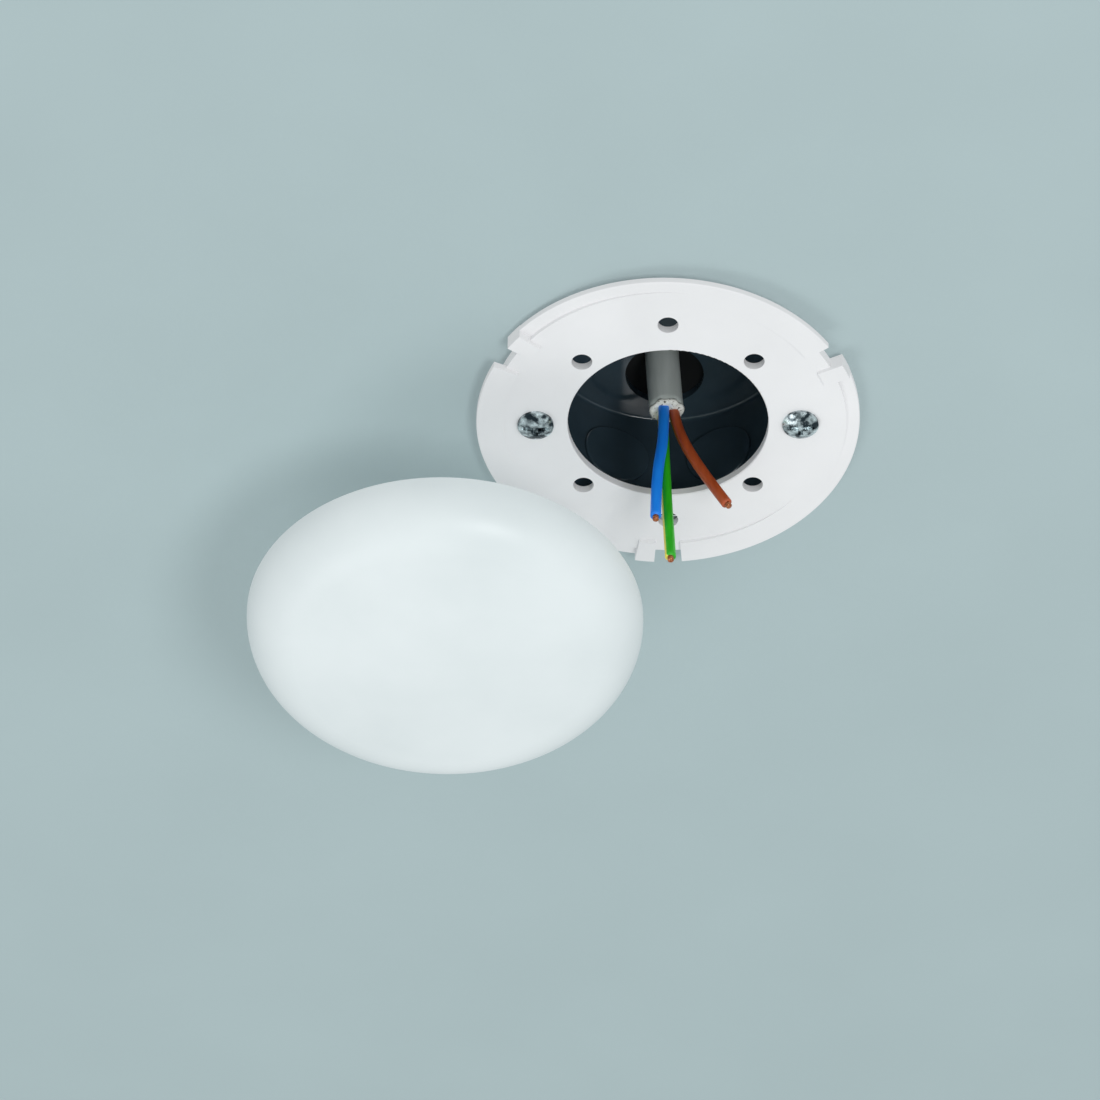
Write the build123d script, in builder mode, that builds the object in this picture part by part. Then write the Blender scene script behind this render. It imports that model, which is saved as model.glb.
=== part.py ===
# Ceiling junction box: flush box in the ceiling, screwed mounting plate, dome cover and the cut cable.
# Millimetres, +Z up. z = 0 is the ceiling face, with the box above it and the plate and cover below it.
import math
import os

from build123d import *

# Fixing: the two screws of the standard 60 mm spacing set the size of the whole assembly.
screw_spacing = 60.0
fit_gap = 0.02  # all round a part that is moulded or pushed in tight

# Flush box
box_edge = 3.75  # from a screw centre to the outside of the box
box_depth = 30.5
box_wall = 1.75
box_taper = 1.4  # how much the inside narrows from the mouth to the base
box_base = 2.0
base_round = 0.9
boss_diameter = 8.0
boss_depth = 18.0
pilot_depth = 16.0
entry_diameter = 18.2
entry_offset = 16.0
entry_shift = -0.7
knockout_diameter = 16.0
knockout_height = 14.8
knockout_spread = 23.0
knockout_proud = 0.8
knockout_round = 0.35

# Mounting plate
plate_thickness = 2.0
lip_step = 1.15  # how far the lip starts behind the face of the disc
lip_climb = 2.1  # how far the lip comes forward from its start to its end
lip_thickness = 1.7
lug_room = 1.75  # between the ceiling and the back of the lip where it starts
disc_margin = 6.65  # from the outside of the box to the edge of the disc
lip_width = 3.05
edge_wall = 1.4
seat_gap = 0.25  # from the outside of the box to the ring that rests on the ceiling
seat_width = 2.4
plate_opening = 45.5
round_edge = 0.3
notch_width = 6.4
stop_length = 4.5  # where a lip starts, it stands forward and stops the wrong turn
first_notch = 90.0
band_inside = 3.0  # how far the lip runs in over the disc where it stands forward
small_hole = 4.7
axis_hole_circle = 61.2
diagonal_hole_circle = 54.7
spacer_diameter = 7.2
screw_clearance = 0.55

# Screws
shank_diameter = 3.1
thread_gap = 0.05
screw_reach = 14.0  # above the ceiling face
head_diameter = 8.2
head_side = 0.7
head_height = 1.9
slot_width = 1.1
slot_length = 6.4
slot_depth = 0.9
cross_length = 4.2

# Dome cover
cover_gap = 0.3
cover_wall = 1.15
cover_skirt = 0.5
inner_skirt = 1.5  # straight part inside, which the plate's lip enters
shoulder_radius = 13.0
shoulder_turn = 80.0
lug_width = 5.2
lug_thickness = 1.0
lug_hold = 2.4  # how far a lug reaches behind the lip
cover_x = -50.6
cover_y = 30.3
cover_z = -36.6

# Cable and its cores
core_diameter = 2.5
conductor_diameter = 1.4
core_spread = 0.2
bedding_cover = 0.3
sheath_wall = 0.8
cable_gap = 0.45
cable_drop = 17.8  # from the back of the box to the cut end of the cable
core_start = 4.0  # how far up the cut cable the cores are followed
strip_length = 1.2  # bare copper past the insulation

# Sizes that follow from those above
box_radius = screw_spacing / 2 + box_edge
mouth_radius = box_radius - box_wall
floor_radius = mouth_radius - box_taper
floor_z = box_depth - box_base
seat_radius = box_radius + seat_gap
entry_radius = entry_diameter / 2
disc_radius = box_radius + disc_margin
lip_radius = disc_radius + lip_width
lip_back = -lug_room
plate_front = lip_back - lip_thickness - lip_step
plate_back = plate_front + plate_thickness
lip_front = plate_front + lip_step - lip_climb
band_radius = disc_radius - band_inside
core_radius = core_diameter / 2
core_circle = (core_diameter + core_spread) / math.sqrt(3)
bedding_radius = core_circle + core_radius + bedding_cover
cable_radius = bedding_radius + fit_gap + sheath_wall
cable_y = entry_offset - entry_radius + cable_radius + cable_gap
cable_z = box_depth - cable_drop
inner_radius = lip_radius + cover_gap
cover_radius = inner_radius + cover_wall
screw_places = [(-screw_spacing / 2, 0), (screw_spacing / 2, 0)]
notch_angles = [first_notch + 120 * k for k in range(3)]
notch_half = math.degrees(math.asin(notch_width / 2 / lip_radius))
stop_turn = math.degrees(stop_length / lip_radius)


def radii_for(points):
    # Each bend uses 0.45 of the shorter run beside it, so that the straight runs join as tangent arcs.
    radii = []
    for before, here, after in zip(points, points[1:], points[2:]):
        run_in = here - before
        run_out = after - here
        half_turn = math.radians(run_in.get_angle(run_out)) / 2
        radii.append(0.45 * min(run_in.length, run_out.length) / math.tan(half_turn))
    return radii


def route_of(name, points, radii):
    route = FilletPolyline(*points, radius=radii, mode=Mode.PRIVATE)
    print(name, "length", round(route.length, 2), "bend radii", [round(r, 1) for r in radii])
    return route


def start_of(points):
    return Plane(origin=points[0], z_dir=points[1] - points[0])


# Flush box: the walls narrow towards a flat base, with a rounded inside edge.
with BuildPart() as flush_box:
    with BuildSketch(Plane.XZ) as box_profile:
        with BuildLine():
            Polyline(
                (0, floor_z),
                (floor_radius, floor_z),
                (mouth_radius, 0),
                (box_radius, 0),
                (box_radius, box_depth),
                (0, box_depth),
                close=True,
            )
        make_face()
        fillet(box_profile.vertices().sort_by_distance((floor_radius, floor_z))[0], base_round)
        fillet(box_profile.vertices().sort_by_distance((box_radius, box_depth))[0], base_round)
    revolve(axis=Axis.Z)
    # Knock-outs: thin raised discs on the inside of the wall, in pairs on both sides.
    with BuildSketch(Plane.XZ) as band_profile:
        with BuildLine():
            Polyline(
                (floor_radius - knockout_proud, floor_z),
                (mouth_radius - knockout_proud, 0),
                (mouth_radius + box_wall / 2, 0),
                (floor_radius + box_wall / 2, floor_z),
                close=True,
            )
        make_face()
    band = revolve(axis=Axis.Z, mode=Mode.PRIVATE)
    for side in (90, 270):
        for turn in (-knockout_spread, knockout_spread):
            angle = math.radians(side + turn)
            outward = Vector(math.cos(angle), math.sin(angle), 0)
            start = outward * (box_radius / 2) + Vector(0, 0, knockout_height)
            with BuildSketch(Plane(origin=start, z_dir=outward), mode=Mode.PRIVATE) as knockout:
                Circle(knockout_diameter / 2)
            disc = extrude(knockout.sketch, amount=box_radius, mode=Mode.PRIVATE)
            with BuildPart(mode=Mode.PRIVATE) as raised:
                add(disc & band)
                rims = raised.edges().filter_by(lambda edge: edge.length > knockout_diameter)
                fillet(rims.sort_by_distance(start)[0], knockout_round)
            add(raised.part)
    # Screw bosses run up the wall and take the plate screws.
    with BuildSketch(Plane.XY) as boss_plan:
        with Locations(*screw_places):
            Circle(boss_diameter / 2)
        Circle(box_radius, mode=Mode.INTERSECT)
    extrude(amount=boss_depth)
    with BuildSketch(Plane.XY):
        with Locations(*screw_places):
            Circle(shank_diameter / 2 + thread_gap)
    extrude(amount=pilot_depth, mode=Mode.SUBTRACT)
    # The opened cable entry in the base.
    with BuildSketch(Plane.XY.offset(floor_z - 1)):
        with Locations((entry_shift, entry_offset)):
            Circle(entry_radius)
    extrude(amount=box_base + 2, mode=Mode.SUBTRACT)
flush_box.part.label = "flush_box"

# Mounting plate: a flat disc with an edge wall, and a ring behind that rests on the ceiling.
with BuildPart() as mounting_plate:
    with BuildSketch(Plane.XZ) as plate_profile:
        with BuildLine():
            Polyline(
                (plate_opening / 2, plate_front),
                (disc_radius, plate_front),
                (disc_radius, lip_back),
                (disc_radius - edge_wall, lip_back),
                (disc_radius - edge_wall, plate_back),
                (seat_radius + seat_width, plate_back),
                (seat_radius + seat_width, 0),
                (seat_radius, 0),
                (seat_radius, plate_back),
                (plate_opening / 2, plate_back),
                close=True,
            )
        make_face()
        fillet(plate_profile.vertices().sort_by_distance((plate_opening / 2, plate_front))[0], round_edge)
    revolve(axis=Axis.Z)
    # Spacers behind the screw holes rest on the box bosses.
    with BuildSketch(Plane.XY.offset(plate_back)):
        with Locations(*screw_places):
            Circle(spacer_diameter / 2)
    extrude(amount=-plate_back)
    with BuildSketch(Plane.XY.offset(plate_front - 1)):
        with Locations(*screw_places):
            Circle(shank_diameter / 2 + screw_clearance)
    extrude(amount=1 - plate_front, mode=Mode.SUBTRACT)
    # Small fixing holes, two on the cross axis and four on the diagonals.
    with BuildSketch(Plane.XY.offset(plate_front - 1)):
        with PolarLocations(axis_hole_circle / 2, 2, start_angle=90):
            Circle(small_hole / 2)
        with PolarLocations(diagonal_hole_circle / 2, 4, start_angle=45):
            Circle(small_hole / 2)
    extrude(amount=1 - plate_front, mode=Mode.SUBTRACT)
    # Bayonet lip: three helical bands with notches between them, each coming forward from its stop to its end.
    for notch in notch_angles:
        start_angle = math.radians(notch + notch_half)
        outward = Vector(math.cos(start_angle), math.sin(start_angle), 0)
        with BuildSketch(Plane(origin=(0, 0, 0), x_dir=outward, z_dir=outward.cross(Vector(0, 0, 1)))):
            with Locations(((band_radius + lip_radius) / 2, (lip_back + lip_front) / 2)):
                Rectangle(lip_radius - band_radius, lip_back - lip_front)
        revolve(axis=Axis.Z, revolution_arc=stop_turn)
        sections = []
        for step in range(7):
            angle = math.radians(notch + notch_half + stop_turn + (120 - 2 * notch_half - stop_turn) * step / 6)
            outward = Vector(math.cos(angle), math.sin(angle), 0)
            along = Plane(origin=(0, 0, plate_front), x_dir=outward, z_dir=outward.cross(Vector(0, 0, 1)))
            middle = lip_step - lip_climb * step / 6 + lip_thickness / 2
            with BuildSketch(along, mode=Mode.PRIVATE) as section:
                with Locations(((band_radius + lip_radius) / 2, middle)):
                    Rectangle(lip_radius - band_radius, lip_thickness)
                fillet(section.vertices().sort_by(Axis.X)[-2:], round_edge)
            sections.append(section.sketch.faces()[0])
        loft(sections)
mounting_plate.part.label = "mounting_plate"

# Plate screws: raised heads with a slot and a shorter cross cut, and plain shanks in the bosses.
with BuildPart() as plate_screws:
    with BuildSketch(Plane.XZ) as screw_profile:
        with BuildLine():
            head_edge = (head_diameter / 2, plate_front - head_side)
            Line((0, screw_reach), (shank_diameter / 2 - 0.6, screw_reach))
            Line((shank_diameter / 2 - 0.6, screw_reach), (shank_diameter / 2, screw_reach - 1.2))
            Line((shank_diameter / 2, screw_reach - 1.2), (shank_diameter / 2, plate_front))
            Line((shank_diameter / 2, plate_front), (head_diameter / 2, plate_front))
            Line((head_diameter / 2, plate_front), head_edge)
            RadiusArc(
                head_edge,
                (0, plate_front - head_height),
                (head_diameter ** 2 / 4 + (head_height - head_side) ** 2) / (2 * (head_height - head_side)),
            )
            Line((0, plate_front - head_height), (0, screw_reach))
        make_face()
    screw = revolve(axis=Axis.Z, mode=Mode.PRIVATE)
    with Locations(*screw_places):
        add(screw)
    with BuildSketch(Plane.XY.offset(plate_front - head_height - 1)):
        with Locations(*screw_places):
            Rectangle(slot_length, slot_width, rotation=0)
            Rectangle(slot_width, cross_length, rotation=0)
    extrude(amount=1 + slot_depth, mode=Mode.SUBTRACT)
plate_screws.part.label = "plate_screws"

# Dome cover: one shell with a short skirt, a round shoulder and a shallow dome, and three bayonet lugs.
turn = math.radians(shoulder_turn)
shoulder_mid = cover_radius - shoulder_radius
dome_radius = (shoulder_mid + shoulder_radius * math.cos(turn)) / math.cos(turn)
dome_mid = cover_skirt + (shoulder_radius - dome_radius) * math.sin(turn)
# The inner shoulder starts deeper than the outer one and still runs smoothly into the inside of the dome.
inner_dome = dome_radius - cover_wall
inner_drop = inner_skirt - dome_mid
inner_shoulder = (inner_dome**2 - inner_drop**2 - inner_radius**2) / 2 / (inner_dome - inner_radius)
inner_turn = math.atan2(inner_drop, inner_radius - inner_shoulder)


def dome_points(edge_radius, skirt, small, large, angle):
    half = angle / 2
    flat = (angle + math.pi / 2) / 2
    edge = (edge_radius, -skirt)
    mid = (edge_radius - small + small * math.cos(half), -skirt - small * math.sin(half))
    join = (large * math.cos(angle), -dome_mid - large * math.sin(angle))
    crown = (large * math.cos(flat), -dome_mid - large * math.sin(flat))
    apex = (0, -dome_mid - large)
    return edge, mid, join, crown, apex


cover_plane = Plane(origin=(cover_x, cover_y, cover_z), x_dir=(1, 0, 0), z_dir=(0, -1, 0))
cover_axis = Axis((cover_x, cover_y, cover_z), (0, 0, 1))
with BuildPart() as dome_cover:
    with BuildSketch(cover_plane):
        with BuildLine():
            outside = dome_points(cover_radius, cover_skirt, shoulder_radius, dome_radius, turn)
            inside = dome_points(inner_radius, inner_skirt, inner_shoulder, inner_dome, inner_turn)
            Line((cover_radius, 0), outside[0])
            ThreePointArc(outside[0], outside[1], outside[2])
            ThreePointArc(outside[2], outside[3], outside[4])
            Line(outside[4], inside[4])
            ThreePointArc(inside[4], inside[3], inside[2])
            ThreePointArc(inside[2], inside[1], inside[0])
            Line(inside[0], (inner_radius, 0))
            Line((inner_radius, 0), (cover_radius, 0))
        make_face()
    revolve(axis=cover_axis)
    with BuildSketch(Plane(origin=(cover_x, cover_y, cover_z))):
        lug_reach = cover_gap + lug_hold
        with PolarLocations(inner_radius - lug_reach / 2 + 0.3, 3, start_angle=first_notch):
            Rectangle(lug_reach + 0.6, lug_width)
    extrude(amount=-lug_thickness)
dome_cover.part.label = "dome_cover"

# Cable: the sheath and bedding come down through the entry and are cut square inside the box.
cable_points = [
    Vector(entry_shift - 1.25, cable_y - 0.9, cable_z + 49.3),
    Vector(entry_shift - 1.3, cable_y - 0.5, cable_z + 24.0),
    Vector(entry_shift + 0.45, cable_y + 1.0, cable_z),
]
cable_route = route_of("cable", cable_points, radii_for(cable_points))
with BuildPart() as cable_sheath:
    with BuildSketch(start_of(cable_points)):
        Circle(cable_radius)
        Circle(bedding_radius + fit_gap, mode=Mode.SUBTRACT)
    sweep(path=cable_route)
cable_sheath.part.label = "cable_sheath"

# Each core leaves the cut end along the cable, then bends away: angle in the cable, lead, free points.
cut_end = Plane(origin=cable_points[2], x_dir=(1, 0, 0), z_dir=cable_points[1] - cable_points[2])


def core_points(angle, lead, free):
    place = (core_circle * math.cos(math.radians(angle)), core_circle * math.sin(math.radians(angle)))
    points = [
        cut_end.from_local_coords(Vector(place[0], place[1], core_start)),
        cut_end.from_local_coords(Vector(place[0], place[1], -lead)),
    ]
    for x, y, z in free:
        points.append(cable_points[2] + Vector(x, y, z))
    return points


def stripped(points):
    # The insulation stops short of the copper.
    last_run = points[-1] - points[-2]
    return points[:-1] + [points[-1] - last_run.normalized() * strip_length]


blue_points = core_points(-110, 7.8, [(-1.7, -1.2, -23.1), (-2.3, -1.5, -37.3)])
earth_points = core_points(130, 7.8, [(0.6, 1.25, -28.3), (1.3, 0.4, -48.4)])
brown_points = core_points(4, 4.0, [(7.85, 0.5, -18.3), (14.1, 0.0, -32.5)])

with BuildPart() as cable_bedding:
    with BuildSketch(start_of(cable_points)):
        Circle(bedding_radius)
    sweep(path=cable_route)
    for points in (blue_points, earth_points, brown_points):
        with BuildSketch(start_of(points)):
            Circle(core_radius + fit_gap)
        extrude(amount=core_start + 1, mode=Mode.SUBTRACT)
cable_bedding.part.label = "cable_bedding"

blue_bends = radii_for(blue_points)
blue_cover = route_of("blue insulation", stripped(blue_points), blue_bends)
with BuildPart() as blue_core:
    with BuildSketch(start_of(blue_points)):
        Circle(core_radius)
        Circle(conductor_diameter / 2 + fit_gap, mode=Mode.SUBTRACT)
    sweep(path=blue_cover)
blue_core.part.label = "blue_core"
blue_route = route_of("blue conductor", blue_points, blue_bends)
with BuildPart() as blue_conductor:
    with BuildSketch(start_of(blue_points)):
        Circle(conductor_diameter / 2)
    sweep(path=blue_route)
blue_conductor.part.label = "blue_conductor"

earth_bends = radii_for(earth_points)
earth_cover = route_of("earth insulation", stripped(earth_points), earth_bends)
with BuildPart() as earth_core:
    with BuildSketch(start_of(earth_points)):
        Circle(core_radius)
        Circle(conductor_diameter / 2 + fit_gap, mode=Mode.SUBTRACT)
    sweep(path=earth_cover)
earth_core.part.label = "earth_core"
earth_route = route_of("earth conductor", earth_points, earth_bends)
with BuildPart() as earth_conductor:
    with BuildSketch(start_of(earth_points)):
        Circle(conductor_diameter / 2)
    sweep(path=earth_route)
earth_conductor.part.label = "earth_conductor"

brown_bends = radii_for(brown_points)
brown_cover = route_of("brown insulation", stripped(brown_points), brown_bends)
with BuildPart() as brown_core:
    with BuildSketch(start_of(brown_points)):
        Circle(core_radius)
        Circle(conductor_diameter / 2 + fit_gap, mode=Mode.SUBTRACT)
    sweep(path=brown_cover)
brown_core.part.label = "brown_core"
brown_route = route_of("brown conductor", brown_points, brown_bends)
with BuildPart() as brown_conductor:
    with BuildSketch(start_of(brown_points)):
        Circle(conductor_diameter / 2)
    sweep(path=brown_route)
brown_conductor.part.label = "brown_conductor"

routes = {"cable": cable_points, "blue": blue_points, "earth": earth_points, "brown": brown_points}
for name, points in routes.items():
    print(name, "points", [tuple(round(v, 2) for v in point) for point in points])

os.makedirs("parts", exist_ok=True)
export_step(flush_box.part, "parts/flush_box.step")
export_step(mounting_plate.part, "parts/mounting_plate.step")
export_step(plate_screws.part, "parts/plate_screws.step")
export_step(dome_cover.part, "parts/dome_cover.step")
export_step(cable_sheath.part, "parts/cable_sheath.step")
export_step(cable_bedding.part, "parts/cable_bedding.step")
export_step(blue_core.part, "parts/blue_core.step")
export_step(earth_core.part, "parts/earth_core.step")
export_step(brown_core.part, "parts/brown_core.step")
export_step(blue_conductor.part, "parts/blue_conductor.step")
export_step(earth_conductor.part, "parts/earth_conductor.step")
export_step(brown_conductor.part, "parts/brown_conductor.step")
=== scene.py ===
import math

import bmesh
import bpy
from mathutils import Matrix, Vector, noise


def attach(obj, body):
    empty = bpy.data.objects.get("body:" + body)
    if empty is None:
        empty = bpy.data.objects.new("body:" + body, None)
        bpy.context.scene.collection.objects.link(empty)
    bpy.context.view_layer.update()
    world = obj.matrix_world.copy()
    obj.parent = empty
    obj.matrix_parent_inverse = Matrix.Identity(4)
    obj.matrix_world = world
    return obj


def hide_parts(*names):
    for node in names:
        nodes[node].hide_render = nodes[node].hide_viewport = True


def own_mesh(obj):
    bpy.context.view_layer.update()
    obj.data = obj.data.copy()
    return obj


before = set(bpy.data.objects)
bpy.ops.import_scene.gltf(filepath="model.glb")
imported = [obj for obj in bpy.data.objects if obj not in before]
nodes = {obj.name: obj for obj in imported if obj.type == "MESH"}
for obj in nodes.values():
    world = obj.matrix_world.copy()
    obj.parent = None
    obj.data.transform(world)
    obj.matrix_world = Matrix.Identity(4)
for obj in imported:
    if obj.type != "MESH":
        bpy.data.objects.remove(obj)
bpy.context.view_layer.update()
scene = bpy.context.scene
scene.view_settings.view_transform = "Standard"
mm = 0.001
print("frame loaded:", len(nodes), "nodes")


# Colours are written as sRGB hex and turned to linear here.
def hexColour(text):
    parts = [int(text[i:i + 2], 16) / 255 for i in (0, 2, 4)]
    return [c / 12.92 if c <= 0.04045 else ((c + 0.055) / 1.055) ** 2.4 for c in parts] + [1.0]


# One node with its settings and inputs: a tuple (node, socket) is a link, anything else is a value.
def addNode(tree, kind, settings=None, **inputs):
    node = tree.nodes.new(kind)
    for name, value in (settings or {}).items():
        setattr(node, name, value)
    for name, value in inputs.items():
        numbered = name[0] == "i" and name[1:].isdigit()
        socket = node.inputs[int(name[1:])] if numbered else node.inputs[name.replace("_", " ")]
        if isinstance(value, tuple) and hasattr(value[0], "outputs"):
            tree.links.new(value[0].outputs[value[1]], socket)
        else:
            socket.default_value = value
    return node


def newMaterial(name):
    material = bpy.data.materials.new(name)
    material.use_nodes = True
    tree = material.node_tree
    tree.nodes.clear()
    return material, tree


def closeMaterial(tree, shader):
    addNode(tree, "ShaderNodeOutputMaterial", Surface=(shader, 0))


# An empty list isn't cleared, because that would reset the faces' material numbers.
def setMaterials(obj, *materials):
    if len(obj.data.materials):
        obj.data.materials.clear()
    for material in materials:
        obj.data.materials.append(material)


# A surface with a slow change of tone, a fine grain and a gloss that follows the tone.
# The grain is drawn coarser than the real one, so that it shows.
def grainedMaterial(name, look):
    material, tree = newMaterial(name)
    where = addNode(tree, "ShaderNodeTexCoord")
    drawn = addNode(tree, "ShaderNodeMapping", Vector=(where, "Object"), Scale=look.get("drawn", (1, 1, 1)))
    tone = addNode(tree, "ShaderNodeTexNoise", Vector=(drawn, 0), Scale=1 / (look["tonePeriod"] * mm),
                   Detail=4.0)
    low, high = look.get("contrast", (0.3, 0.7))
    spread = addNode(tree, "ShaderNodeMapRange", Value=(tone, 0), From_Min=low, From_Max=high)
    tint = addNode(tree, "ShaderNodeMix", {"data_type": "RGBA"}, i0=(spread, 0),
                   i6=hexColour(look["dark"]), i7=hexColour(look["light"]))
    grain = addNode(tree, "ShaderNodeTexNoise", Vector=(drawn, 0), Scale=1 / (look["grainPeriod"] * mm),
                    Detail=3.0)
    bump = addNode(tree, "ShaderNodeBump", Height=(grain, 0), Strength=look["grain"],
                   Distance=look["grainPeriod"] * mm / 4)
    smooth, dull = look["rough"]
    gloss = addNode(tree, "ShaderNodeMapRange", Value=(spread, 0), To_Min=smooth, To_Max=dull)
    shader = addNode(tree, "ShaderNodeBsdfPrincipled", Base_Color=(tint, 2), Roughness=(gloss, 0),
                     Normal=(bump, 0), Metallic=look.get("metal", 0.0),
                     Specular_IOR_Level=look.get("specular", 0.5))
    closeMaterial(tree, shader)
    return material


# Camera: below the ceiling and in front, looking up at it, at the photograph's angle.
cameraSetup = {
    "place": (-3.95, -1041.03, -1085.23),  # mm
    "aim": (-26.81, 19.86, -25.05),  # mm
    "roll": -0.726,  # degrees
    "lens": 216.69,  # mm
    "sensor": 36,  # mm across
    "seenFrom": 50,  # mm, nearest and farthest distance that is drawn
    "seenTo": 20000,
}


def makeCamera():
    data = bpy.data.cameras.new("camera")
    data.lens = cameraSetup["lens"]
    data.sensor_fit = "HORIZONTAL"
    data.sensor_width = cameraSetup["sensor"]
    data.clip_start = cameraSetup["seenFrom"] * mm
    data.clip_end = cameraSetup["seenTo"] * mm
    camera = bpy.data.objects.new("camera", data)
    scene.collection.objects.link(camera)
    place = Vector(cameraSetup["place"]) * mm
    look = Vector(cameraSetup["aim"]) * mm - place
    roll = Matrix.Rotation(math.radians(-cameraSetup["roll"]), 3, "Z")
    turn = look.to_track_quat("-Z", "Y").to_matrix() @ roll
    camera.matrix_world = Matrix.Translation(place) @ turn.to_4x4()
    scene.camera = camera
    print("camera set")


makeCamera()


# The line that a cord follows: a smooth spline on its given points.
def routeLine(name, points):
    curve = bpy.data.curves.new(name, "CURVE")
    curve.dimensions = "3D"
    curve.resolution_u = 24
    spline = curve.splines.new("NURBS")
    spline.points.add(len(points) - 1)
    for spot, point in zip(spline.points, points):
        spot.co = (*(Vector(point) * mm), 1.0)
    spline.order_u = 3
    spline.use_endpoint_u = True
    holder = bpy.data.objects.new(name, curve)
    mesh = bpy.data.meshes.new_from_object(holder)
    line = [v.co.copy() for v in mesh.vertices]
    bpy.data.objects.remove(holder)
    bpy.data.curves.remove(curve)
    bpy.data.meshes.remove(mesh)
    return line


def lineLength(line):
    return sum((b - a).length for a, b in zip(line, line[1:]))


# The point and direction at a distance along a line; the line runs on straight past its ends.
def pointAlong(line, distance):
    for a, b in zip(line, line[1:]):
        run = (b - a).length
        if distance <= run or b is line[-1]:
            return a + (b - a) * (distance / run), (b - a).normalized()
        distance -= run


# A round body along a line, from stations (distance, radius, material index). Zero radius closes an end.
# The shape function may move each point: it gets the distance, the angle and the radius.
def sweepRound(name, line, stations, sides, closed=False, shape=None, stripe=None):
    build = bmesh.new()
    rings = []
    for distance, radius, slot in stations:
        middle, along = pointAlong(line, distance)
        side = (Vector((1, 0, 0)) - along * along.x).normalized()
        back = along.cross(side)
        ring = []
        for k in range(sides if radius > 0 else 1):
            angle = math.tau * k / sides
            out, lift = (radius, 0.0) if shape is None else shape(distance, angle, radius)
            outward = side * math.cos(angle) + back * math.sin(angle)
            ring.append(build.verts.new(middle + outward * out + along * lift))
        rings.append((ring, slot))
    pairs = list(zip(rings, rings[1:])) + ([(rings[-1], rings[0])] if closed else [])
    for (first, _), (second, slot) in pairs:
        for k in range(sides):
            corners = [first[k % len(first)], first[(k + 1) % len(first)],
                       second[(k + 1) % len(second)], second[k % len(second)]]
            face = build.faces.new(list(dict.fromkeys(corners)))
            face.smooth = True
            face.material_index = stripe(k / sides, slot) if stripe else slot
    bmesh.ops.recalc_face_normals(build, faces=build.faces)
    mesh = bpy.data.meshes.new(name)
    build.to_mesh(mesh)
    build.free()
    obj = bpy.data.objects.new(name, mesh)
    scene.collection.objects.link(obj)
    return obj


# Distances from start to stop in even steps of about the given size.
def evenly(start, stop, step):
    count = max(1, round(abs(stop - start) / step))
    return [start + (stop - start) * k / count for k in range(count + 1)]


# Cable: the house wiring comes down through the box's base and is cut square inside the box.
cable = {
    "route": ((-1.95, 10.38, 62.0), (-2.0, 10.78, 36.7), (-0.25, 12.28, 12.7)),  # mm
    "exit": (-1.6, 11.2, 29.5),  # mm, in the base of the box
    "diameter": 7.86,  # mm
    "bore": 6.26,  # mm, inside the sheath
    "filling": 6.22,  # mm across
    "edge": 0.2,  # mm, rounding of the cut edge
    "sides": 64,
    "firstRing": 2.0,  # mm from the upper end
    "ringStep": 1.5,  # mm between the rings of the sheath
    "boreStep": 3.0,
    "fillingStep": 4.0,
    "waveDepth": 0.004,  # share of the radius by which the sheath is uneven
    "waveScale": 2.2,
    "waveDrawn": 0.12,  # how much the unevenness is drawn out along the cable
    "crumb": 0.75,  # mm, how far the broken filling stands out
    "crumbSpread": 3.95,  # mm, radius of the broken filling over the cut sheath
    "crumbLip": 0.08,  # mm between the cut sheath and the filling that spreads over it
    "crumbTurn": (0.7, 0.94),  # shares of its height and radius at which the broken rim turns in
    "crumbRings": (0.82, 0.12, 0.14),  # first and last ring across the cut and their step, shares of the radius
    "crumbRough": 0.35,  # mm, height of the crumbs on the cut end
    "crumbScale": 0.9,
    "crumbSeed": (3.1, 0.7, 5.3),
    "raggedDepth": 0.09,  # share of the radius by which the broken rim is ragged
    "raggedScale": 2.6,
    "raggedSeed": 2.4,
    # Flexible PVC sheath: extruded round the cable, so it is matt with faint lines along it.
    "sheathLook": {"dark": "C2CAC5", "light": "D6DDD9", "tonePeriod": 2.2, "drawn": (1, 1, 0.12),
                   "grainPeriod": 0.35, "grain": 0.25, "rough": (0.42, 0.6), "specular": 0.4},
    # The pit colour is painted shade: it darkens the pits of the broken end.
    "fillingLook": {"pale": "FDFEF8", "dull": "E2E4DA", "pit": "4A463B", "crumbSize": 0.8, "pitSize": 0.7,
                    "pitRange": (0.6, 0.66), "relief": 0.15, "reliefStrength": 0.45, "rough": 0.85},
}


# Filling compound: chalk-filled and brittle, so the cut leaves a pale crumbly end, with dark specks of painted
# shade for its pits.
def fillingCompound(look):
    material, tree = newMaterial("fillingCompound")
    where = addNode(tree, "ShaderNodeTexCoord")
    crumb = addNode(tree, "ShaderNodeTexVoronoi", Vector=(where, "Object"),
                    Scale=1 / (look["crumbSize"] * mm))
    # Painted shade: where this noise is high, the colour turns to the dark pit colour.
    pits = addNode(tree, "ShaderNodeTexNoise", Vector=(where, "Object"), Scale=1 / (look["pitSize"] * mm),
                   Detail=3.0)
    low, high = look["pitRange"]
    pitShadeMask = addNode(tree, "ShaderNodeMapRange", Value=(pits, 0), From_Min=low, From_Max=high)
    tone = addNode(tree, "ShaderNodeMix", {"data_type": "RGBA"}, i0=(crumb, 0),
                   i6=hexColour(look["pale"]), i7=hexColour(look["dull"]))
    tint = addNode(tree, "ShaderNodeMix", {"data_type": "RGBA"}, i0=(pitShadeMask, 0),
                   i6=(tone, 2), i7=hexColour(look["pit"]))
    bump = addNode(tree, "ShaderNodeBump", Height=(crumb, 0), Strength=look["reliefStrength"],
                   Distance=look["relief"] * mm)
    shader = addNode(tree, "ShaderNodeBsdfPrincipled", Base_Color=(tint, 2), Roughness=look["rough"],
                     Normal=(bump, 0))
    closeMaterial(tree, shader)
    return material


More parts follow.
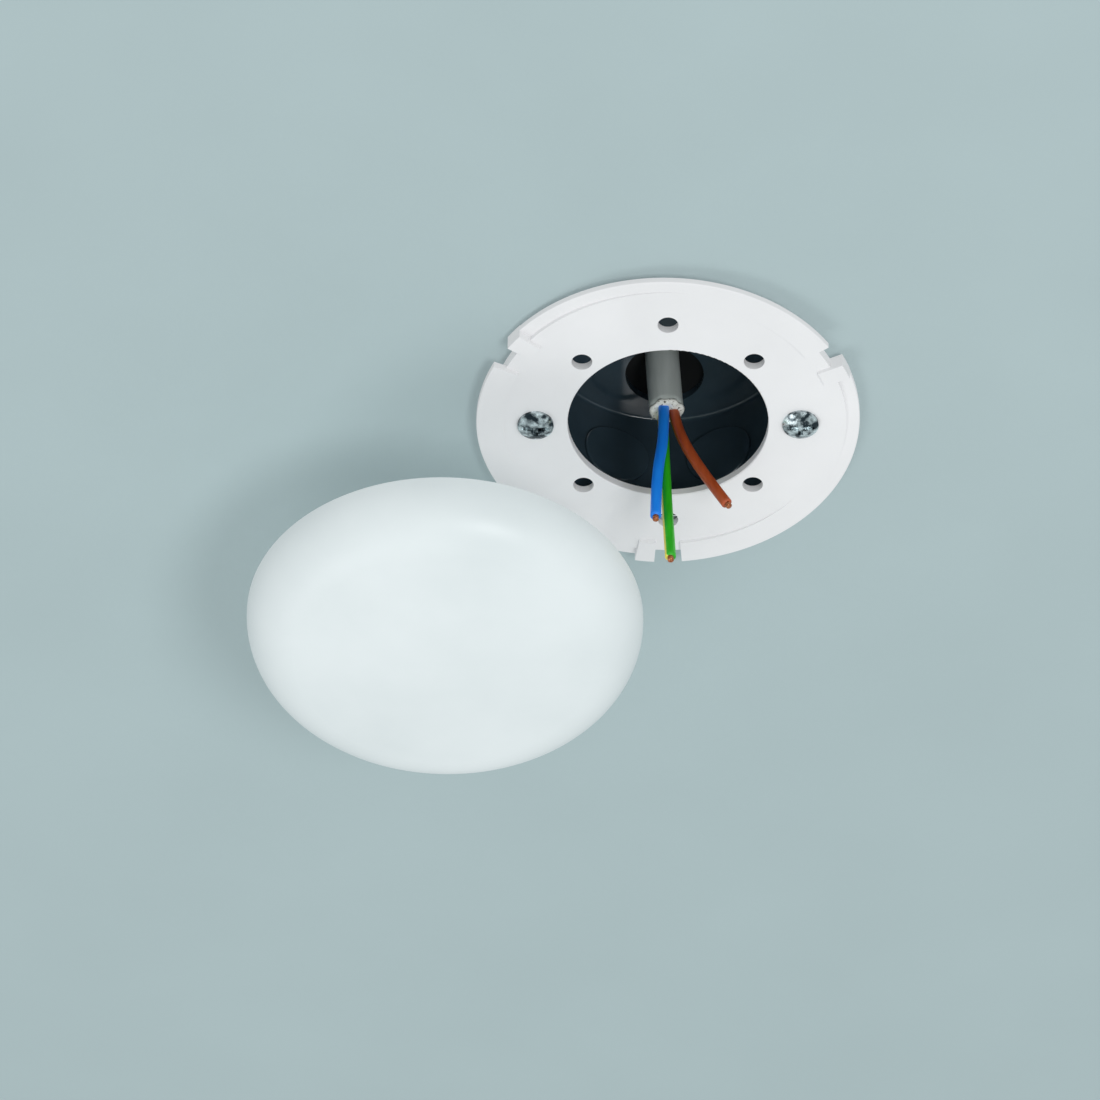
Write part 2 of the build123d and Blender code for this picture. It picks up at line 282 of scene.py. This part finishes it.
def makeCable():
    line = routeLine("cableRoute", cable["route"])
    length = lineLength(line)
    outer, bore, edge = cable["diameter"] / 2 * mm, cable["bore"] / 2 * mm, cable["edge"] * mm
    stations = [(0.0, bore, 0), (0.0, outer - edge, 0), (edge, outer, 0)]
    first = cable["firstRing"] * mm
    stations += [(d, outer, 0) for d in evenly(first, length - edge, cable["ringStep"] * mm)]
    stations += [(length, outer - edge, 0), (length, bore + edge / 2, 0)]
    stations += [(d, bore, 0) for d in evenly(length - edge, first, cable["boreStep"] * mm)]

    def extruded(distance, angle, radius):
        spot = Vector((math.cos(angle), math.sin(angle), distance / mm * cable["waveDrawn"]))
        return radius * (1 + cable["waveDepth"] * noise.noise(spot * cable["waveScale"])), 0.0

    sheath = sweepRound("cableSheath", line, stations, cable["sides"], closed=True, shape=extruded)
    setMaterials(sheath, grainedMaterial("pvcSheath", cable["sheathLook"]))

    inside, spread, rise = cable["filling"] / 2 * mm, cable["crumbSpread"] * mm, cable["crumb"] * mm
    stations = [(0.0, 0.0, 0)] + [(d, inside, 0) for d in evenly(0.0, length, cable["fillingStep"] * mm)]
    turnHeight, turnRadius = cable["crumbTurn"]
    stations += [(length + cable["crumbLip"] * mm, spread, 0)]
    stations += [(length + rise * turnHeight, spread * turnRadius, 0)]
    stations += [(length + rise, spread * share, 0) for share in evenly(*cable["crumbRings"])]
    stations += [(length + rise, 0.0, 0)]

    def broken(distance, angle, radius):
        if distance <= length:
            return radius, 0.0
        spot = Vector((math.cos(angle), math.sin(angle), 0)) * (radius / mm * cable["crumbScale"])
        rough = noise.noise(spot + Vector(cable["crumbSeed"]))
        rim = Vector((math.cos(angle), math.sin(angle), cable["raggedSeed"]))
        ragged = noise.noise(rim * cable["raggedScale"])
        return radius * (1 + cable["raggedDepth"] * ragged), cable["crumbRough"] * mm * rough

    filling = sweepRound("cableFilling", line, stations, cable["sides"], shape=broken)
    setMaterials(filling, fillingCompound(cable["fillingLook"]))
    for piece, node, slot in ((sheath, "cable_sheath", "grey_sheath"),
                              (filling, "cable_bedding", "cream_filler")):
        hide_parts(node)
        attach(piece, "ceiling_set")
    print("cable made")


makeCable()

# Cores: PVC insulation on solid copper, each bent away from the cut cable and cut square.
cores = {
    "exit": (-0.25, 12.28, 12.7),  # mm, the cut end of the cable
    "diameter": 2.5,  # mm
    "copper": 1.4,  # mm across
    "strip": 1.2,  # mm of bare copper
    "edge": 0.12,  # mm, rounding of the cut edges
    "firstRing": 1.0,  # mm from the upper end
    "ringStep": 0.9,  # mm between the rings of the insulation
    "keep": 0.4,  # share of the length left when the cover is offered up
    "sides": 48,
    "routes": {
        "blue": ((-1.07, 10.57, 16.55), (-0.6, 11.3, 4.81), (-2.75, 11.08, -10.4), (-2.85, 10.78, -24.6)),
        "earth": ((-1.1, 13.45, 16.68), (-1.05, 13.96, 4.94), (-0.35, 13.53, -15.6), (0.5, 12.68, -35.7)),
        "brown": ((1.01, 12.13, 16.8), (1.3, 12.63, 8.84), (6.8, 12.78, -5.6), (13.85, 12.28, -18.9)),
    },
    "slots": {"blue": "blue_insulation", "earth": "green_insulation", "brown": "brown_insulation"},
    # PVC insulation: extruded in its colour, so it is smooth with a soft shine and faint lines along it.
    "extruded": {"tonePeriod": 1.6, "drawn": (1, 1, 0.1), "grainPeriod": 0.3, "grain": 0.12,
                 "rough": (0.3, 0.42)},
    "colours": {"blue": ("0F7AF2", "1E92FF"), "earth": ("20A010", "36CC22"),
                "brown": ("9C421F", "BA5428"), "yellow": ("E2D23A", "F0E468")},
    # Soft copper wire: drawn and then cut with pliers, so it is bright and slightly streaked.
    "copperLook": {"dark": "9A5536", "light": "D98A63", "tonePeriod": 0.5, "grainPeriod": 0.12,
                   "grain": 0.3, "rough": (0.22, 0.4), "metal": 1.0},
    "yellowFrom": 0.36,  # of a turn, from +X towards -Y
    "yellowTo": 0.74,
}


def makeCores():
    extruded = {name: grainedMaterial(name + "Pvc", dict(cores["extruded"], dark=pair[0], light=pair[1]))
                for name, pair in cores["colours"].items()}
    copper = grainedMaterial("drawnCopper", cores["copperLook"])
    full, bare, edge = cores["diameter"] / 2 * mm, cores["copper"] / 2 * mm, cores["edge"] * mm
    for name, points in cores["routes"].items():
        line = routeLine(name + "Route", points)
        length = lineLength(line)
        end = length - cores["strip"] * mm
        first, step = cores["firstRing"] * mm, cores["ringStep"] * mm
        stations = [(0.0, 0.0, 0), (0.0, full, 0)] + [(d, full, 0) for d in evenly(first, end - edge, step)]
        stations += [(end - edge / 3, full - edge / 3, 0), (end, full - edge, 0), (end, bare, 0)]
        stations += [(end + edge, bare, 1), (length - edge, bare, 1)]
        stations += [(length, bare - edge, 1), (length, 0.0, 1)]

        def striped(turn, slot, name=name):
            yellow = cores["yellowFrom"] <= turn < cores["yellowTo"]
            return 2 if name == "earth" and slot == 0 and yellow else slot

        core = sweepRound(name + "Core", line, stations, cores["sides"], stripe=striped)
        setMaterials(core, extruded[name], copper, *([extruded["yellow"]] if name == "earth" else []))
        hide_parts(name + "_core", name + "_conductor")
        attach(core, "ceiling_set")
        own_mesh(core)
    print("cores made")


makeCores()

# Finishes of the pieces whose shape is the CAD node's own.
finishes = {
    # Polypropylene, injection moulded: near black with a cool tint, smooth with soft glints on its edges.
    "flush_box": ("polypropylene", {"dark": "35454F", "light": "3B4C57", "tonePeriod": 9.0,
                                    "grainPeriod": 0.5, "grain": 0.06, "rough": (0.11, 0.18),
                                    "specular": 0.8}),
    # Urea plastic, compression moulded: white and faintly warm, with a soft even sheen.
    "mounting_plate": ("ureaPlastic", {"dark": "EDECED", "light": "F4F3F4", "tonePeriod": 26.0,
                                       "grainPeriod": 0.45, "grain": 0.1, "rough": (0.42, 0.52),
                                       "specular": 0.4}),
    # Zinc-plated steel: bright with a cool tint. Its near-black and bright patches are partly the plating's
    # mottle and partly painted reflection of the room, drawn large enough to show.
    "plate_screws": ("zincWithPaintedReflections", {"dark": "323C42", "light": "DEE9EC", "tonePeriod": 1.9,
                                         "grainPeriod": 0.3, "grain": 0.45, "rough": (0.1, 0.28),
                                         "metal": 1.0, "contrast": (0.41, 0.63)}),
    # ABS, injection moulded: white and faintly cool, with a satin surface that spreads the lamps.
    "dome_cover": ("absPlastic", {"dark": "E2E9EA", "light": "EBF1F2", "tonePeriod": 34.0, "grainPeriod": 0.4,
                                  "grain": 0.12, "rough": (0.36, 0.46), "specular": 0.45}),
}
for node, (name, look) in finishes.items():
    setMaterials(nodes[node], grainedMaterial(name, look))
print("finishes set")


# Ceiling and light: a plain painted ceiling that shows only from below, and large soft lamps.
roomSetup = {
    "ceilingColour": "B1C2C4",
    "ceilingSize": 3000,  # mm, side of the square
    "ceilingHeight": 0.02,  # mm, just above the seat of the plate
    "paintPatch": 60,  # mm, size of the paint's uneven patches
    "paintVary": 0.05,  # share by which the paint is lighter or darker
    "stipple": 2.5,  # mm between the roller's dots
    "stippleDepth": 0.4,  # mm
    "stippleStrength": 0.12,
    "paintRough": 0.85,
    "holeRadius": 34.0,  # mm, for the flush box
    "voidPlace": (-0.7, 16.0, 30.7),  # mm, the dark space above the cable entry
    "voidRadius": 10.0,  # mm
    "voidHole": 0.01,  # mm, too small to see: the ring needs an inner edge
    # painted shade: the colour of the dark sheet that stands for the unlit space
    "voidShadeColour": "0B0E10",
    "rimSteps": 64,
    "worldColour": "E6EBEC",
    "backdropColour": "CDD6D7",
    "worldLight": 0.78,
    "lamps": (  # name, place in mm, size in mm, watts
        ("keyLamp", (377, -709, -1021), 400, 4.4),
        ("sideLamp", (-598, 195, -1144), 700, 2.2),
        ("topLamp", (0, 200, 1500), 1200, 5.0),
    ),
}


# A flat ring or disc that looks down, from an inner radius to an outer outline.
def flatRing(name, middle, inner, outer, square):
    build = bmesh.new()
    rings = ([], [])
    count = roomSetup["rimSteps"]
    for k in range(count):
        angle = math.tau * k / count
        across = max(abs(math.cos(angle)), abs(math.sin(angle))) if square else 1.0
        for ring, radius in zip(rings, (inner, outer / across)):
            spoke = Vector((math.cos(angle), math.sin(angle), 0)) * radius
            ring.append(build.verts.new((Vector(middle) + spoke) * mm))
    for k in range(count):
        build.faces.new((rings[0][k - 1], rings[0][k], rings[1][k], rings[1][k - 1]))
    mesh = bpy.data.meshes.new(name)
    build.to_mesh(mesh)
    build.free()
    obj = bpy.data.objects.new(name, mesh)
    scene.collection.objects.link(obj)
    return obj


# What the camera and glossy surfaces see: 1 for their rays, 0 for those that only carry light.
def shownRays(tree):
    ray = addNode(tree, "ShaderNodeLightPath")
    return addNode(tree, "ShaderNodeMath", {"operation": "MAXIMUM"},
                   i0=(ray, "Is Camera Ray"), i1=(ray, "Is Glossy Ray"))


# Emulsion paint on plaster: rolled on, so it is matt with a faint uneven tone and a fine stipple.
# It shows from below only, and light passes through it, so that the parts above it aren't in the dark.
def emulsionPaint():
    material, tree = newMaterial("emulsionPaint")
    where = addNode(tree, "ShaderNodeTexCoord")
    tone = addNode(tree, "ShaderNodeTexNoise", Vector=(where, "Object"),
                   Scale=1 / (roomSetup["paintPatch"] * mm), Detail=3.0)
    paintColour = hexColour(roomSetup["ceilingColour"])[:3]
    vary = roomSetup["paintVary"]
    tint = addNode(tree, "ShaderNodeMix", {"data_type": "RGBA"}, i0=(tone, 0),
                   i6=[c * (1 - vary) for c in paintColour] + [1],
                   i7=[c * (1 + vary) for c in paintColour] + [1])
    stipple = addNode(tree, "ShaderNodeTexNoise", Vector=(where, "Object"),
                      Scale=1 / (roomSetup["stipple"] * mm), Detail=2.0)
    bump = addNode(tree, "ShaderNodeBump", Height=(stipple, 0), Strength=roomSetup["stippleStrength"],
                   Distance=roomSetup["stippleDepth"] * mm)
    paint = addNode(tree, "ShaderNodeBsdfPrincipled", Base_Color=(tint, 2), Roughness=roomSetup["paintRough"],
                    Normal=(bump, 0))
    clear = addNode(tree, "ShaderNodeBsdfTransparent")
    side = addNode(tree, "ShaderNodeNewGeometry")
    below = addNode(tree, "ShaderNodeMath", {"operation": "SUBTRACT", "use_clamp": True},
                    i0=(shownRays(tree), 0), i1=(side, "Backfacing"))
    seen = addNode(tree, "ShaderNodeMixShader", i0=(below, 0), i1=(clear, 0), i2=(paint, 0))
    closeMaterial(tree, seen)
    return material


# Painted shade for the unlit space above the ceiling board: a plain dark sheet, seen only from below, where the
# cable entry shows it.
def unlitSpace():
    material, tree = newMaterial("unlitSpace")
    dark = addNode(tree, "ShaderNodeBsdfPrincipled", Base_Color=hexColour(roomSetup["voidShadeColour"]),
                   Roughness=1.0)
    clear = addNode(tree, "ShaderNodeBsdfTransparent")
    side = addNode(tree, "ShaderNodeNewGeometry")
    seen = addNode(tree, "ShaderNodeMixShader", i0=(side, "Backfacing"), i1=(dark, 0), i2=(clear, 0))
    closeMaterial(tree, seen)
    return material


def makeCeiling():
    middle = (0, 0, roomSetup["ceilingHeight"])
    ceiling = flatRing("ceiling", middle, roomSetup["holeRadius"], roomSetup["ceilingSize"] / 2, True)
    setMaterials(ceiling, emulsionPaint())
    space = flatRing("ceilingVoid", roomSetup["voidPlace"], roomSetup["voidHole"],
                     roomSetup["voidRadius"], False)
    setMaterials(space, unlitSpace())
    print("ceiling made")


def makeLight():
    for name, place, size, watts in roomSetup["lamps"]:
        data = bpy.data.lights.new(name, "AREA")
        data.shape = "DISK"
        data.size = size * mm
        data.energy = watts
        lamp = bpy.data.objects.new(name, data)
        scene.collection.objects.link(lamp)
        lamp.location = Vector(place) * mm
        lamp.rotation_euler = (-lamp.location).to_track_quat("-Z", "Y").to_euler()
    world = bpy.data.worlds.new("room")
    scene.world = world
    world.use_nodes = True
    tree = world.node_tree
    tree.nodes.clear()
    plain = addNode(tree, "ShaderNodeBackground", Color=hexColour(roomSetup["backdropColour"]), Strength=1.0)
    light = addNode(tree, "ShaderNodeBackground", Color=hexColour(roomSetup["worldColour"]),
                    Strength=roomSetup["worldLight"])
    both = addNode(tree, "ShaderNodeMixShader", i0=(shownRays(tree), 0), i1=(light, 0), i2=(plain, 0))
    addNode(tree, "ShaderNodeOutputWorld", Surface=(both, 0))
    print("light set")


makeCeiling()
makeLight()
